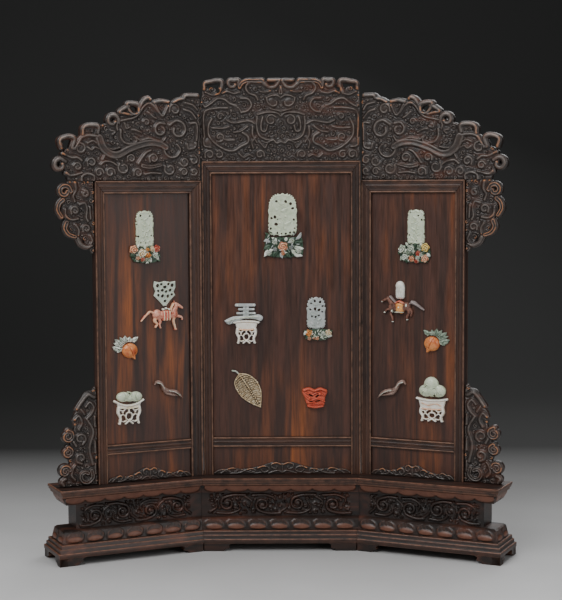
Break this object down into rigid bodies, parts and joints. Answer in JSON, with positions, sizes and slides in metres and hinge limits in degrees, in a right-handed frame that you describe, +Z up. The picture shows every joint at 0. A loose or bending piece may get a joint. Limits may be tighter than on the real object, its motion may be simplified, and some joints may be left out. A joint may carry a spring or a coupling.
{
  "type": "table screen",
  "caption": "Carved dark hardwood table screen with angled wings on a moulded bracket-foot base, the framed boards set with jade, stone, coral and metal ornaments.",
  "frame": {"origin": "under the middle of the base, on the surface that the feet stand on", "axes": "+Z up, the carved front faces -Y, +X to the right as seen from the front"},
  "size_m": [0.5846, 0.1456, 0.5902],
  "materials": {
    "base_wood": "dark carved hardwood, worn satin polish",
    "frame_wood": "dark hardwood frame, satin polish, rubbed edges",
    "board_wood": "brown-orange streaked hardwood board, satin",
    "carved_wood": "dark carved hardwood with rubbed high points",
    "pale_jade": "pale green-grey jade, soft polish",
    "ivory_stone": "cream-white carved stone, soft polish",
    "flower_stone": "coloured hardstone flowers and leaves, polished",
    "peach_stone": "orange-red carved stone, polished",
    "coral": "red coral, satin polish",
    "pink_stone": "salmon-pink carved stone, polished",
    "dark_stone": "dark brown-grey carved stone with lighter parts",
    "pearl": "pearly white and pink-brown shell, polished",
    "gilt_metal": "gilt filigree metal, worn",
    "silver_metal": "silvery-green metal leaves, tarnished"
  },
  "bodies": {
    "root": {"apron_center": "carved_wood", "apron_left": "carved_wood", "apron_right": "carved_wood", "base_cornice_center": "base_wood", "base_cornice_left": "base_wood", "base_cornice_right": "base_wood", "base_plinth_center": "base_wood", "base_plinth_left": "base_wood", "base_plinth_right": "base_wood", "board_center": "board_wood", "board_left": "board_wood", "board_right": "board_wood", "boulder_right": "pale_jade", "coral_basket_center": "coral", "crest_center": "carved_wood", "crest_left": "carved_wood", "crest_right": "carved_wood", "ear_left": "carved_wood", "ear_right": "carved_wood", "horse_left": "pink_stone", "horse_right": "dark_stone", "jade_figure_right": "pale_jade", "jade_fruit_left": "pale_jade", "leaf_center": "gilt_metal", "lower_board_center": "board_wood", "lower_board_left": "board_wood", "lower_board_right": "board_wood", "middle_rail_center": "frame_wood", "middle_rail_left": "frame_wood", "middle_rail_right": "frame_wood", "peach_leaves_left": "silver_metal", "peach_leaves_right": "silver_metal", "peach_left": "peach_stone", "peach_right": "peach_stone", "pendant_left": "pale_jade", "plaque_center": "pale_jade", "plaque_flowers_center": "flower_stone", "plaque_flowers_left": "flower_stone", "plaque_flowers_right": "flower_stone", "plaque_left": "pale_jade", "plaque_right": "pale_jade", "pod_left": "pearl", "pod_right": "pearl", "small_plaque_center": "pale_jade", "small_plaque_flowers_center": "flower_stone", "spandrel_left": "carved_wood", "spandrel_right": "carved_wood", "stand_center": "ivory_stone", "stand_left": "ivory_stone", "stand_right": "ivory_stone", "stepped_jade_center": "pale_jade", "stile_inner_center": "frame_wood", "stile_inner_left": "frame_wood", "stile_inner_right": "frame_wood", "stile_outer_center": "frame_wood", "stile_outer_left": "frame_wood", "stile_outer_right": "frame_wood", "top_rail_center": "frame_wood", "top_rail_left": "frame_wood", "top_rail_right": "frame_wood"}
  },
  "joints": []
}
